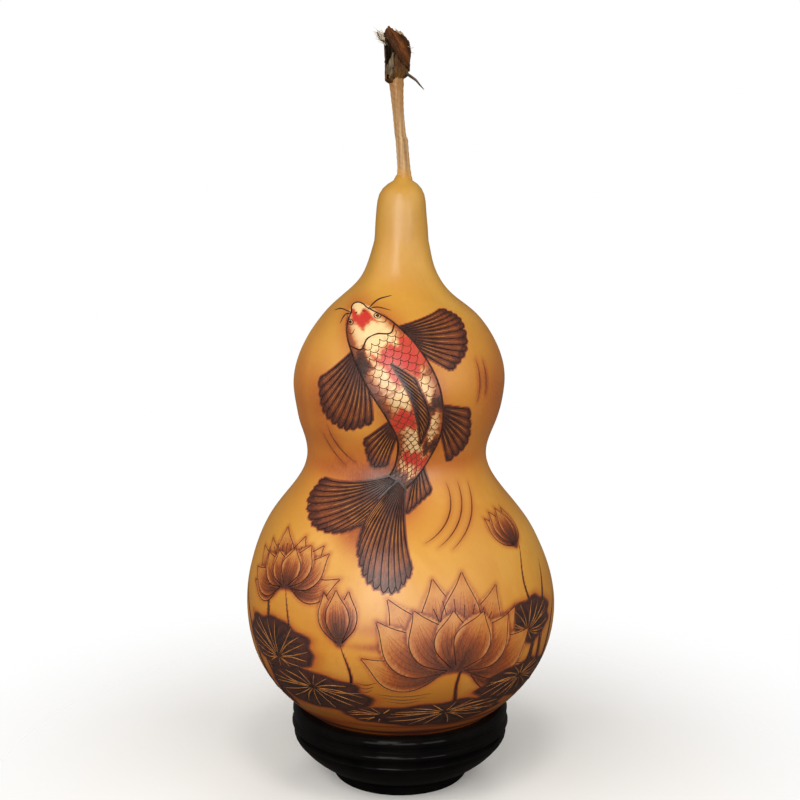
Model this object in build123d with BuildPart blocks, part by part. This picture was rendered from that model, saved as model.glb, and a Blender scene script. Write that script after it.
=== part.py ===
"""A dried bottle gourd ornament with its stem and a scrap of vine, standing in a turned black bowl stand.

Millimetres, +Z up. The origin is on the table, under the middle of the stand's foot.
"""

import math
import os

from build123d import *

# Driving dimensions of the gourd: radius and height where its outline turns
pole_z = 26.0
belly_radius, belly_z = 87.0, 99.0
waist_radius, waist_z = 49.8, 187.5
bust_radius, bust_z = 58.4, 226.5
neck_radius, neck_z = 14.6, 306.0
crown_radius, crown_z = 6.2, 337.5
rind = 4.8

# Points between the turns, where the outline swells or draws in
flank_radius, flank_z = 60.0, 46.2
swell_radius, swell_z = 84.0, 79.5
hip_radius, hip_z = 73.3, 148.5
shoulder_radius, shoulder_z = 52.6, 250.8
slope_radius, slope_z = 40.2, 267.4
throat_radius, throat_z = 22.2, 284.6
collar_radius, collar_z = 13.3, 326.5
dome_radius, dome_z = 11.3, 333.2

# The hollow: a round bowl at the bottom, in which loose seeds can slide, and a flat ceiling in the neck
bowl_radius, bowl_pole_z = 90.0, 31.0
bowl_rim_radius = 76.0
ceiling_radius, ceiling_z = 8.4, 325.0
socket_radius = 4.0

# The dried stem: five ridges, leaning a little to the left
stem_radius = 3.3
stem_foot_x = 1.6
stem_top_x, stem_top_z = -2.7, 398.0
stem_ridges = 5
stem_groove = 0.82

# The scrap of vine on top of the stem: split down its front left, torn off at the top, with peeling bark
vine_radius, vine_wall = 6.0, 2.0
vine_x, vine_low_z, vine_high_z = -1.8, 389.5, 414.0
vine_floor = 3.0
vine_far = 24.0
split_edge = [(-4.0, 393), (-3.0, 397), (-4.0, 401), (-2.4, 404.5), (-4.2, 408), (-3.0, 411), (-4.0, 415)]
torn_edge = [(-10.5, 411.5), (-7.5, 413.5), (-5.5, 410.5), (-3.5, 414), (-1.5, 410), (0.5, 412), (4, 405)]
bark_thickness = 1.0
bark_edge = [(5.9, 392.5), (6.7, 397), (7.0, 404), (6.6, 408), (5.0, 412.5), (2.0, 417)]
bark_tear = [(1.6, 392), (0.4, 395.5), (2, 399.5), (0.6, 404), (1, 407.5), (-2.2, 410.5), (-6, 418)]
bark_turn, bark_arc = -80.0, 190.0
tendril_radius, tendril_bend, tendril_y = 0.6, 4.0, -2.5
tendril_route = [(2.4, 395.4), (5.2, 393.5), (8.2, 391.4), (10.6, 388.6), (12.6, 386.2)]
fibre_radius, fibre_tip_radius, fibre_count = 0.3, 0.12, 6
fibre_ring_x, fibre_ring_radius, fibre_root_z = -2.6, 4.7, 406.5
fibre_first, fibre_last = 130.0, 178.0
fibre_length, fibre_length_change = 10.0, 2.0
fibre_splay, fibre_splay_change = 0.45, 0.2

# Seeds, lying loose in one layer at the bottom of the hollow
seed_length, seed_width, seed_thickness = 15.0, 7.4, 2.8
seed_count, seed_spread, seed_clearance = 21, 9.0, 0.35

# The stand: a turned bowl on a foot ring, with two beads, and a separate rounded rim on a tongue
foot_radius, foot_height = 38.5, 4.6
foot_recess_radius, foot_recess = 30.0, 4.0
flare_radius, flare_z = 53.7, 15.0
girth_radius, girth_z = 61.0, 26.0
bead_radius, bead_z, bead_size = 62.2, 32.0, 2.4
quirk_radius = 59.4
joint_radius, joint_z = 60.0, 35.0
lip_radius, lip_contact_share = 4.0, 0.153
seat_gap = 0.25
rim_inner_radius = 52.5
tongue_inner_radius, tongue_outer_radius, tongue_depth, tongue_gap = 54.0, 57.0, 3.0, 0.1
dish_radius, dish_pole_z = 50.0, 23.5

os.makedirs("parts", exist_ok=True)


def write(piece, name):
    """Label a finished piece and write it to its own file."""
    piece.label = name
    export_step(piece, f"parts/{name}.step")
    print(name, "solids", len(piece.solids()), "volume", round(piece.volume))


def ridged_section(radius, x, height, turn=0.0, groove=stem_groove):
    """A closed section of a ridged stalk, ridge and groove by turns, drawn flat at the given place."""
    points = []
    for step in range(2 * stem_ridges):
        angle = math.radians(turn) + math.pi * step / stem_ridges
        reach = radius * (1.0 if step % 2 == 0 else groove)
        points.append((reach * math.cos(angle), reach * math.sin(angle)))
    with BuildSketch(Plane((x, 0, height))) as section:
        with BuildLine():
            Spline(*points, periodic=True)
        make_face()
    return section.sketch


def inset(curve, share, depth):
    """The point that lies the given depth inside a curve, at a share of the way along it."""
    point = curve @ share
    along = curve % share
    return (point.X - depth * along.Y, point.Y + depth * along.X)


def front_block(points, front_y, back_y):
    """A prism whose outline is drawn on the front plane, reaching from one depth to another."""
    with BuildPart() as block:
        with BuildSketch(Plane.XZ.offset(-front_y)):
            with BuildLine():
                Polyline(*points, close=True)
            make_face()
        extrude(amount=front_y - back_y)
    return block.part


# Gourd shell: one outline turned about the axis, less its hollow and the socket for the stem
with BuildLine() as skin_line:
    skin = Spline(
        (0, pole_z),
        (flank_radius, flank_z),
        (swell_radius, swell_z),
        (belly_radius, belly_z),
        (hip_radius, hip_z),
        (waist_radius, waist_z),
        (bust_radius, bust_z),
        (shoulder_radius, shoulder_z),
        (slope_radius, slope_z),
        (throat_radius, throat_z),
        (neck_radius, neck_z),
        (collar_radius, collar_z),
        tangents=[(1, 0), (-0.08, 1)],
    )
bowl_centre_z = bowl_pole_z + bowl_radius
bowl_rim_z = bowl_centre_z - math.sqrt(bowl_radius**2 - bowl_rim_radius**2)
bowl_mid_radius = bowl_rim_radius / 2
bowl_mid_z = bowl_centre_z - math.sqrt(bowl_radius**2 - bowl_mid_radius**2)
bowl_pole, bowl_mid, bowl_rim = (0, bowl_pole_z), (bowl_mid_radius, bowl_mid_z), (bowl_rim_radius, bowl_rim_z)
lining = [inset(skin, 0.01 * percent, rind) for percent in range(30, 92, 5)]
with BuildPart() as gourd_shell:
    with BuildSketch(Plane.XZ):
        with BuildLine():
            add(skin)
            crown = ThreePointArc(skin @ 1, (dome_radius, dome_z), (crown_radius, crown_z))
            Polyline(crown @ 1, (0, crown_z), (0, pole_z))
        make_face()
    revolve(axis=Axis.Z)
    with BuildSketch(Plane.XZ):
        with BuildLine():
            bowl = ThreePointArc(bowl_pole, bowl_mid, bowl_rim)
            wall = Spline(bowl @ 1, *lining, (ceiling_radius, ceiling_z), tangents=[bowl % 1, (0, 1)])
            Polyline(wall @ 1, (0, ceiling_z), bowl_pole)
        make_face()
    revolve(axis=Axis.Z, mode=Mode.SUBTRACT)
    with BuildSketch(Plane.XY.offset(ceiling_z)):
        with Locations((stem_foot_x, 0)):
            Circle(socket_radius)
    extrude(amount=crown_z - ceiling_z, mode=Mode.SUBTRACT)
write(gourd_shell.part, "gourd_shell")

# Neck pith: the spongy core that dries fast to the ceiling of the neck
pith_radius = ceiling_radius - 0.8
with BuildPart() as neck_pith:
    with BuildSketch(Plane.XZ):
        with BuildLine():
            core = Spline(
                (pith_radius, ceiling_z),
                (pith_radius * 0.95, neck_z),
                (pith_radius * 0.8, throat_z + 5),
                (0, throat_z - 14),
                tangents=[(0, -1), (-1, -0.4)],
            )
            Polyline(core @ 1, (0, ceiling_z), core @ 0)
        make_face()
    revolve(axis=Axis.Z)
write(neck_pith.part, "neck_pith")

# Seeds: flat, blunt at one end and pointed at the other, strewn over the bowl of the hollow in a spiral
blunt_radius, point_radius = seed_width / 2, seed_width / 5
with BuildPart() as seed:
    with BuildSketch(Plane.XY.offset(-seed_thickness / 2)):
        with Locations((seed_length / 2 - blunt_radius, 0)):
            Circle(blunt_radius)
        with Locations((point_radius - seed_length / 2, 0)):
            Circle(point_radius)
        make_hull()
    extrude(amount=seed_thickness)
    chamfer(seed.edges().group_by(Axis.Z)[0] + seed.edges().group_by(Axis.Z)[-1], seed_thickness / 4)
golden_angle = math.pi * (3 - math.sqrt(5))
seed_sag = bowl_radius - math.sqrt(bowl_radius**2 - (seed_length / 2)**2)
seed_reach = bowl_radius - seed_sag - seed_clearance - seed_thickness / 2
seed_places = []
for number in range(seed_count):
    bearing = number * golden_angle
    tilt = math.asin(seed_spread * math.sqrt(number + 0.5) / seed_reach)
    down = Vector(math.sin(tilt) * math.cos(bearing), math.sin(tilt) * math.sin(bearing), -math.cos(tilt))
    across = Vector(-math.sin(bearing), math.cos(bearing), 0)
    seed_places.append(Plane(Vector(0, 0, bowl_centre_z) + down * seed_reach, x_dir=across, z_dir=down * -1))
with BuildPart() as seeds:
    with Locations(*seed_places):
        add(seed.part)
write(seeds.part, "seeds")

# Stem: a round root in the crown's socket, then a ridged stalk that flares at both ends
stalk = [
    (1.36, 0.0, 0.0),
    (1.10, 0.12, 0.2),
    (0.94, 0.42, 0.1),
    (0.96, 0.70, -0.3),
    (1.10, 0.88, 0.0),
    (1.14, 1.0, 0.0),
]
with BuildPart() as stem:
    with BuildSketch(Plane.XY.offset(ceiling_z)):
        with Locations((stem_foot_x, 0)):
            Circle(socket_radius)
    extrude(amount=crown_z - ceiling_z)
    sections = []
    for swell, share, bow in stalk:
        x = stem_foot_x + share * (stem_top_x - stem_foot_x) + bow
        sections.append(ridged_section(stem_radius * swell, x, crown_z + share * (stem_top_z - crown_z)))
    loft(sections)
write(stem.part, "stem")

# Vine stub: a length of hollow vine
vine_sections = [
    (0.92, vine_low_z, vine_x + 0.2),
    (1.04, vine_low_z + 7, vine_x),
    (1.02, vine_low_z + 16, vine_x - 0.3),
    (0.86, vine_high_z, vine_x - 1.6),
]
top_z = vine_high_z + vine_far
with BuildPart() as vine_stub:
    loft([ridged_section(vine_radius * swell, x, z, turn=18, groove=0.9) for swell, z, x in vine_sections])
    hollow = []
    for swell, z, x in vine_sections:
        floor_z = max(z, vine_low_z + vine_floor)
        hollow.append(ridged_section(vine_radius * swell - vine_wall, x, floor_z, groove=0.95))
    loft(hollow, mode=Mode.SUBTRACT)
    split = [(-vine_far, split_edge[0][1]), *split_edge, (-vine_far, split_edge[-1][1])]
    add(front_block(split, -vine_far, 0), mode=Mode.SUBTRACT)
    tear = [(-vine_far, top_z), *torn_edge, (vine_far, torn_edge[-1][1]), (vine_far, top_z)]
    add(front_block(tear, -vine_far, vine_far), mode=Mode.SUBTRACT)
    add(stem.part, mode=Mode.SUBTRACT)
write(vine_stub.part, "vine_stub")

# Bark flap: a peeled strip that hugs the right of the vine and curls over its torn top
bark_angle = math.radians(bark_turn)
bark_plane = Plane(
    (vine_x, 0, 0),
    x_dir=(math.cos(bark_angle), math.sin(bark_angle), 0),
    z_dir=(math.sin(bark_angle), -math.cos(bark_angle), 0),
)
bark_inside = [(radius - bark_thickness, height - bark_thickness / 3) for radius, height in bark_edge]
with BuildPart() as bark_flap:
    with BuildSketch(bark_plane):
        with BuildLine():
            outside = Spline(*bark_edge)
            inside = Spline(*bark_inside)
            Line(outside @ 0, inside @ 0)
            Line(outside @ 1, inside @ 1)
        make_face()
    revolve(axis=Axis((vine_x, 0, 0), (0, 0, 1)), revolution_arc=bark_arc)
    ragged = [(-vine_far, bark_tear[0][1]), *bark_tear, (-vine_far, top_z)]
    add(front_block(ragged, -vine_far, 0), mode=Mode.SUBTRACT)
    add(vine_stub.part, mode=Mode.SUBTRACT)
write(bark_flap.part, "bark_flap")

# Tendril: a dry curl that springs from the foot of the vine
with BuildPart() as tendril:
    with BuildLine(Plane.XZ.offset(-tendril_y)):
        curl = FilletPolyline(*tendril_route, radius=tendril_bend)
    with BuildSketch(Plane(curl @ 0, z_dir=curl % 0)):
        Circle(tendril_radius)
    sweep()
    add(vine_stub.part, mode=Mode.SUBTRACT)
    add(bark_flap.part, mode=Mode.SUBTRACT)
write(tendril.part, "tendril")

# Torn fibres: fine strands rooted in the vine's torn wall, fanning out to the left
with BuildPart() as torn_fibres:
    for number in range(fibre_count):
        bearing = math.radians(fibre_first + (fibre_last - fibre_first) * number / (fibre_count - 1))
        out = Vector(math.cos(bearing), math.sin(bearing), 0)
        root = Vector(fibre_ring_x, 0, fibre_root_z) + out * fibre_ring_radius
        aim = Vector(-0.2, -0.1, 1.0) + out * (fibre_splay + fibre_splay_change * math.sin(2.4 * number))
        length = fibre_length + fibre_length_change * math.cos(1.9 * number)
        with Locations(Plane(root, z_dir=aim)):
            Cone(fibre_radius, fibre_tip_radius, length, align=(Align.CENTER, Align.CENTER, Align.MIN))
write(torn_fibres.part, "torn_fibres")

# Stand bowl: turned, with a dished top, a groove for the rim's tongue, two beads and a recessed foot
dish_rise = joint_z - dish_pole_z
dish_curve = (dish_radius**2 + dish_rise**2) / (2 * dish_rise)
bead_top = (quirk_radius, bead_z + bead_size)
bead_low = (quirk_radius, bead_z - bead_size)
with BuildPart() as stand_bowl:
    with BuildSketch(Plane.XZ):
        with BuildLine():
            dish = RadiusArc((0, dish_pole_z), (dish_radius, joint_z), -dish_curve)
            Polyline(dish @ 1, (joint_radius, joint_z), bead_top)
            ThreePointArc(bead_top, (bead_radius, bead_z), bead_low)
            side = Spline(
                bead_low,
                (girth_radius, girth_z),
                (flare_radius, flare_z),
                (foot_radius, foot_height),
                tangents=[(1, -0.3), (-1, -0.45)],
            )
            Polyline(
                side @ 1,
                (foot_radius, 0),
                (foot_recess_radius, 0),
                (foot_recess_radius, foot_recess),
                (0, foot_recess),
                (0, dish_pole_z),
            )
        make_face()
    revolve(axis=Axis.Z)
    with BuildSketch(Plane.XY.offset(joint_z)):
        Circle(tongue_outer_radius + tongue_gap)
        Circle(tongue_inner_radius - tongue_gap, mode=Mode.SUBTRACT)
    extrude(amount=-tongue_depth - tongue_gap, mode=Mode.SUBTRACT)
write(stand_bowl.part, "stand_bowl")

# Stand rim: a rounded lip that the gourd rests on, glued to the bowl by its tongue
lip_centre_radius, lip_centre_z = inset(skin, lip_contact_share, -(lip_radius + seat_gap))
with BuildPart() as stand_rim:
    with BuildSketch(Plane.XZ):
        with BuildLine():
            lip = CenterArc((lip_centre_radius, lip_centre_z), lip_radius, -50, 205)
            Polyline(
                lip @ 1,
                (rim_inner_radius, joint_z + 2),
                (rim_inner_radius, joint_z),
                (tongue_inner_radius, joint_z),
                (tongue_inner_radius, joint_z - tongue_depth),
                (tongue_outer_radius, joint_z - tongue_depth),
                (tongue_outer_radius, joint_z),
                (joint_radius, joint_z),
                lip @ 0,
            )
        make_face()
    revolve(axis=Axis.Z)
write(stand_rim.part, "stand_rim")
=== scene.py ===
# %% [markdown]
# # A dried bottle gourd with a burnt picture, on a black stand
# A bottle gourd is grown, dried until it is hard and hollow, and rubbed smooth. A maker then burns
# a picture into its skin with a hot point, tints it, and waxes it. This one keeps its stem and a
# scrap of vine, and it rests in a turned, black-lacquered bowl. We load the engineering model as a
# fixed frame first, so that every piece that we make lies where the real one does.

# %% Load the frame
import math
from contextlib import contextmanager

import bpy
import numpy as np
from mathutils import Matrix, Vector


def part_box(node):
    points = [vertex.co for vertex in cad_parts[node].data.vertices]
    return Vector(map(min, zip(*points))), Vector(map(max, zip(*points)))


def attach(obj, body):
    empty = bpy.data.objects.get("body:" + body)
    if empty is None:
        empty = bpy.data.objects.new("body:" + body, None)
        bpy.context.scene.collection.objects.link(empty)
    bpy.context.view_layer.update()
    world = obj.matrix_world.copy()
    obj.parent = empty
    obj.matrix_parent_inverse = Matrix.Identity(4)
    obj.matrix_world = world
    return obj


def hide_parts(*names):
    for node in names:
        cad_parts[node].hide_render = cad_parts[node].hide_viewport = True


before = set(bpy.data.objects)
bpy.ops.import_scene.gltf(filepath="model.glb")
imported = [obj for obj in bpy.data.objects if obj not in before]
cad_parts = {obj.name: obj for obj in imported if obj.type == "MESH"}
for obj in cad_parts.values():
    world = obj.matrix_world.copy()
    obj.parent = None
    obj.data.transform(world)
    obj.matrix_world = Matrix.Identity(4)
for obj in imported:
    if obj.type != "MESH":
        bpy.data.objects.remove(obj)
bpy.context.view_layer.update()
mm = 0.001
print("nodes", sorted(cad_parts))

# %% [markdown]
# ## The camera
# The photograph looks slightly down at the gourd from a little under a metre away. Its horizon,
# the way the stand's rings open and the taper of the outline together give the height, the
# distance and the lens. We set these once and then leave the camera alone.

# %% Camera
lens_mm, sensor_mm = 64.7, 36.0
eye = Vector((0.0, -0.790, 0.352))
target = Vector((0.0, 0.0, 0.217))
bpy.ops.object.camera_add(location=eye, rotation=(target - eye).to_track_quat("-Z", "Y").to_euler())
camera = bpy.context.object
camera.data.lens = lens_mm
camera.data.sensor_width = sensor_mm
bpy.context.scene.camera = camera
down = math.degrees(math.atan2(eye.z - target.z, -eye.y))
print("camera looks down by", round(down, 1), "degrees")

# %% [markdown]
# ## The studio
# A soft lamp stands at the upper left of the camera, and three more stand in a row behind it, like
# windows: these draw the long thin highlights on the black rings and the broad one on the neck. A
# lamp overhead, a wide panel at each side and a weak lamp at the back only fill the shadows. These
# four show in no reflection, so that the highlights stay in the middle. The world is white to the
# eye but lights the object dimly, so that the black stand stays black. The floor is a pale disc
# that thins out to nothing at its edge, so that no horizon cuts the picture, and it throws little
# light back up.

# %% Studio lamps
lamp_tint = (1.0, 0.972, 0.935)
window_distance, window_height = 1.5, 0.37


def soft_lamp(name, place, aim_height, wide, tall, watts, mirrored=True):
    """A warm area lamp that points at a height on the gourd's axis, and may show in reflections."""
    turn = (Vector((0, 0, aim_height)) - Vector(place)).to_track_quat("-Z", "Y").to_euler()
    bpy.ops.object.light_add(type="AREA", location=place, rotation=turn)
    lamp = bpy.context.object
    lamp.name = name
    lamp.visible_glossy = mirrored
    lamp.data.shape = "RECTANGLE"
    lamp.data.size = wide
    lamp.data.size_y = tall
    lamp.data.energy = watts
    lamp.data.color = lamp_tint
    print(name, watts, "W")


soft_lamp("key_lamp", (-0.24, -1.05, 0.78), 0.20, 0.42, 0.70, 3.2)
for side, bearing, watts in (("left", -24, 2.7), ("front", 4, 3.4), ("right", 34, 2.4)):
    x = window_distance * math.sin(math.radians(bearing))
    y = -window_distance * math.cos(math.radians(bearing))
    soft_lamp(side + "_window", (x, y, window_height), 0.26, 0.62, 0.66, watts)
for name, *facts in (
    ("top_lamp", (0.02, -0.50, 1.10), 0.22, 0.20, 0.20, 1.8),
    ("left_panel", (-1.00, -0.60, 0.75), 0.18, 1.6, 1.4, 17.0),
    ("right_panel", (1.00, -0.65, 0.75), 0.18, 1.6, 1.4, 14.0),
    ("back_lamp", (0.30, 1.10, 0.90), 0.20, 0.6, 0.6, 3.0),
):
    soft_lamp(name, *facts, mirrored=False)

# %% World
def fill(tree, node, inputs):
    """Set or link the input sockets of a node, by name or number."""
    for name, value in inputs.items():
        if isinstance(value, bpy.types.NodeSocket):
            tree.links.new(value, node.inputs[name])
        else:
            node.inputs[name].default_value = value


def put(tree, kind, inputs=None, **settings):
    """Add a node, set its properties, and fill its input sockets."""
    made = tree.nodes.new(kind)
    for name, value in settings.items():
        setattr(made, name, value)
    fill(tree, made, inputs or {})
    return made


world = bpy.data.worlds.new("studio_white")
world.use_nodes = True
bpy.context.scene.world = world
sky = world.node_tree
seen_white = put(sky, "ShaderNodeBackground", {"Color": (1, 1, 1, 1), "Strength": 1.0})
dim_white = put(sky, "ShaderNodeBackground", {"Color": (1, 0.97, 0.93, 1), "Strength": 0.10})
to_eye = put(sky, "ShaderNodeLightPath").outputs["Is Camera Ray"]
whites = {0: to_eye, 1: dim_white.outputs[0], 2: seen_white.outputs[0]}
both_whites = put(sky, "ShaderNodeMixShader", whites)
fill(sky, sky.nodes["World Output"], {"Surface": both_whites.outputs[0]})
bpy.context.scene.view_settings.view_transform = "Standard"
print("world", len(sky.nodes), "nodes")

# %% Floor
floor_radius, floor_solid = 0.36, 0.05


def new_finish(name):
    """A new material: its tree, its shader, and the place on the piece."""
    made = bpy.data.materials.new(name)
    made.use_nodes = True
    tree = made.node_tree
    place = put(tree, "ShaderNodeTexCoord").outputs["Object"]
    return made, tree, tree.nodes["Principled BSDF"], place


def pale_floor():
    """Matt pale paint that thins out towards the disc's edge, and is dark to all but the eye."""
    finish, tree, shader, place = new_finish("pale_floor")
    reach = put(tree, "ShaderNodeVectorMath", {0: place}, operation="LENGTH").outputs["Value"]
    thinning = {"Value": reach, "From Min": floor_radius * 0.92, "From Max": floor_solid}
    thin = put(tree, "ShaderNodeMapRange", thinning, interpolation_type="SMOOTHSTEP")
    seen = put(tree, "ShaderNodeLightPath").outputs["Is Camera Ray"]
    dim_or_pale = {0: seen, 6: (0.05, 0.045, 0.04, 1), 7: (0.90, 0.89, 0.87, 1)}
    colour = put(tree, "ShaderNodeMix", dim_or_pale, data_type="RGBA").outputs[2]
    fill(tree, shader, {"Base Color": colour, "Alpha": thin.outputs["Result"]})
    fill(tree, shader, {"Roughness": 0.8, "Specular IOR Level": 0.1})
    return finish


bpy.ops.mesh.primitive_circle_add(
    vertices=96, radius=floor_radius, fill_type="NGON", location=(0, 0, 0)
)
floor = bpy.context.object
floor.name = "floor"
floor.data.materials.append(pale_floor())
print("floor disc", floor_radius, "m in radius")

# %% [markdown]
# ## The outline of the gourd
# The skin has to follow the engineering model exactly, because the stand carries it. So we measure
# that model: rays from below find its round bottom and rays from the side find the rest. The
# result is one outline, as radius and height against the distance along it, which every later step
# can ask.

# %% Measure the outline
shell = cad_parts["gourd_shell"]
bpy.context.view_layer.update()
bottom_reach, bottom_count = 0.060, 61
side_step, off_seam = 0.0005, 1e-5
bottom_radii = np.linspace(0.0, bottom_reach, bottom_count)
bottom_heights = []
for radius in bottom_radii:
    below = (radius + off_seam, off_seam, -0.1)
    bottom_heights.append(shell.ray_cast(below, (0, 0, 1))[1].z)
crown_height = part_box("gourd_shell")[1][2]
side_heights = np.arange(bottom_heights[-1] + side_step, crown_height, side_step)
side_radii = []
for height in side_heights:
    hit = shell.ray_cast((0.3, off_seam, height), (-1, 0, 0))[1]
    side_radii.append(math.hypot(hit.x, hit.y))

collar = np.array([(0.0052, 0.0006), (0.0044, 0.0020), (0.0040, 0.0034), (0.0, 0.0036)])
outline_radius = np.concatenate([bottom_radii, side_radii, collar[:, 0]])
outline_height = np.concatenate([bottom_heights, side_heights, crown_height + collar[:, 1]])
smooth, evened = np.ones(5) / 5, slice(3, -5)
outline_radius[evened] = np.convolve(outline_radius, smooth, "same")[evened]
steps = np.hypot(np.diff(outline_radius), np.diff(outline_height))
outline_along = np.concatenate([[0.0], np.cumsum(steps)])
slope_radius = np.gradient(outline_radius, outline_along)
slope_height = np.gradient(outline_height, outline_along)
print("outline", len(outline_along), "points,", round(outline_along[-1], 3), "m along")


def radius_at(along):
    """Radius of the gourd at a distance along its outline."""
    return np.interp(along, outline_along, outline_radius)


def along_at(height):
    """Distance along the outline at a height."""
    return np.interp(height, outline_height, outline_along)


# %% [markdown]
# ## The skin
# No gourd grows perfectly round. The middle of this one wanders a little to the left at its waist
# and to the right under its stem. Its left side is fuller at the shoulder and below the waist, its
# right side just above the waist, and faint lumps all over bend the highlights. We start from a
# flat grid, roll it round the outline, and merge the seam and the poles. The grid is much finer on
# the side that carries the picture, because the picture's soft tones are stored on its points.

# %% Skin surface
left_side, right_side = math.radians(-90), math.radians(90)
wanderings = [(0.187, -0.0017, 0.032), (0.318, 0.0007, 0.040)]
crown_wander, crown_bend = 0.0010, 0.008
lump_size, lump_fade = 0.00034, 0.022
lump_low, lump_high = 0.062, 0.318
swellings = [
    (left_side, 0.2755, 0.0027, 0.008), (left_side, 0.1570, 0.0022, 0.017),
    (left_side, 0.2060, 0.0008, 0.008), (right_side, 0.2085, 0.0014, 0.012),
    (right_side, 0.2930, -0.0009, 0.010), (right_side, 0.1320, -0.0010, 0.020),
    (left_side, 0.3320, -0.0006, 0.006),
]


def hump(value, middle, reach):
    """A smooth hump: 1 at its middle, and nothing a few reaches away."""
    return np.exp(-((value - middle) / reach) ** 2)


def wander(height):
    """How far the gourd's middle strays sideways at a height."""
    strays = sum(size * hump(height, middle, reach) for middle, size, reach in wanderings)
    return strays + crown_wander * np.clip(1 + (height - crown_height) / crown_bend, 0, 1) ** 2


def lumps(around, height):
    """Lumps and swellings of the radius, none where the stand or the stem meets the skin."""
    wave = np.sin(3 * around + 31 * height) + 0.7 * np.sin(4 * around - 57 * height + 1.3)
    wave += 0.5 * np.sin(7 * around + 88 * height + 0.4)
    fade = np.clip((height - lump_low) / lump_fade, 0, 1)
    fade = fade * np.clip((lump_high - height) / lump_fade, 0, 1)
    rise = lump_size * wave * fade
    for side, middle, size, reach in swellings:
        facing = 0.5 + 0.5 * np.cos(around - side)
        rise = rise + size * facing**2 * hump(height, middle, reach)
    return rise


def skin_point(around, along, lift=0.0):
    """Points on the skin: angle from the front, distance along the outline, height above it."""
    height = np.interp(along, outline_along, outline_height)
    out_radius = np.interp(along, outline_along, slope_height)
    out_height = -np.interp(along, outline_along, slope_radius)
    radius = radius_at(along) + lumps(around, height) + lift * out_radius
    x = radius * np.sin(around) + wander(height)
    y = -radius * np.cos(around)
    return np.stack([x, y, height + lift * out_height], axis=-1)


print("lumps of", lump_size, "m and", len(swellings), "swellings")

# %% Grid helpers
def points_of(piece):
    """The places of a mesh's points, as rows of three numbers."""
    places = np.empty(3 * len(piece.data.vertices))
    piece.data.vertices.foreach_get("co", places)
    return places.reshape(-1, 3)


def move_points(piece, places):
    """Put a mesh's points at new places."""
    piece.data.vertices.foreach_set("co", np.ascontiguousarray(places).ravel())
    piece.data.update()


def pick(piece):
    """Select one piece alone and make it active."""
    bpy.ops.object.select_all(action="DESELECT")
    bpy.context.view_layer.objects.active = piece
    piece.select_set(True)


# %% Edit mode and finishing touches
@contextmanager
def editing(piece):
    """Open a piece in edit mode, with all of it selected, for the lines inside the with block."""
    pick(piece)
    bpy.ops.object.mode_set(mode="EDIT")
    bpy.ops.mesh.select_all(action="SELECT")
    yield
    bpy.ops.object.mode_set(mode="OBJECT")


def flat_grid(name, columns, rows):
    """A new flat grid, with the share of the way across and along it for each of its points."""
    bpy.ops.object.select_all(action="DESELECT")
    bpy.ops.mesh.primitive_grid_add(
        x_subdivisions=columns, y_subdivisions=rows, size=2, location=(0, 0, 0)
    )
    made = bpy.context.object
    made.name = name
    way = (points_of(made) + 1) / 2
    return made, way[:, 0], way[:, 1]


def close_up(piece, gap=1e-6):
    """Merge points that lie together and turn every face outwards."""
    with editing(piece):
        bpy.ops.mesh.remove_doubles(threshold=gap)
        bpy.ops.mesh.normals_make_consistent(inside=False)


def smooth_shade(piece, degrees):
    """Shade a piece smoothly, apart from edges that are sharper than an angle."""
    pick(piece)
    bpy.ops.object.shade_smooth_by_angle(angle=math.radians(degrees))


def settle(piece, body, slot, *nodes):
    """Let a piece ride on a body and stand for the nodes it replaces. The slot argument is not
    used.
    """
    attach(piece, body)
    if nodes:
        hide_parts(*nodes)
    print(piece.name, len(piece.data.polygons), "faces")


# %% Roll the skin
front_half_angle, front_columns = math.radians(84), 252
back_columns = 38
picture_low, picture_high = along_at(0.038), along_at(0.290)
fine_row, coarse_row, trial_rows = 0.00104, 0.0036, 4000

front_angles = np.linspace(-front_half_angle, front_half_angle, front_columns + 1)
back_angles = np.linspace(front_half_angle, 2 * math.pi - front_half_angle, back_columns + 1)
column_angles = np.concatenate([front_angles, back_angles[1:]])
fine_along = np.linspace(0, outline_along[-1], trial_rows)
in_picture = (fine_along > picture_low) & (fine_along < picture_high)
rows_per_metre = np.where(in_picture, 1 / fine_row, 1 / coarse_row)
rows_so_far = np.cumsum(rows_per_metre) * (fine_along[1] - fine_along[0])
row_count = int(rows_so_far[-1])
even_rows = np.linspace(rows_so_far[0], rows_so_far[-1], row_count + 1)
row_along = np.interp(even_rows, rows_so_far, fine_along)
row_along[0] = 0.0

column_count = len(column_angles) - 1
gourd_skin, across_share, along_share = flat_grid("gourd_skin", column_count, row_count)
point_angles = column_angles[np.rint(across_share * column_count).astype(int)]
point_along = row_along[np.rint(along_share * row_count).astype(int)]
move_points(gourd_skin, skin_point(point_angles, point_along))
close_up(gourd_skin)
smooth_shade(gourd_skin, 80)
settle(gourd_skin, "gourd", "gourd_skin", "gourd_shell")

# %% [markdown]
# ## A sheet to draw on
# The maker draws on a curved skin, but a drawing is easier to plan flat. A sheet is a flat piece
# of the picture in millimetres, laid on the gourd with its middle at one place. Lengths along the
# skin stay true, so a round leaf stays round. Soft tones are stored on the points of the skin: how
# far it is burnt, together with the painted shade at its foot and edges, how far it is scraped
# pale, and where red tint lies. Sharp lines are kept in a list, and a shape that is drawn later
# hides the lines that it covers, as a petal in front hides one behind.

# %% Sheets
skin_places = points_of(gourd_skin)
skin_along = along_at(skin_places[:, 2])
skin_around = np.arctan2(skin_places[:, 0] - wander(skin_places[:, 2]), -skin_places[:, 1])
# The burn tone also takes the painted shade that the smears lay at the skin's foot and edges.
tones = {name: np.zeros(len(skin_places)) for name in ("burn_and_shade", "pale", "red")}
lines, covers = [], []
line_step, margin = 0.8, 2.0


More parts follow.
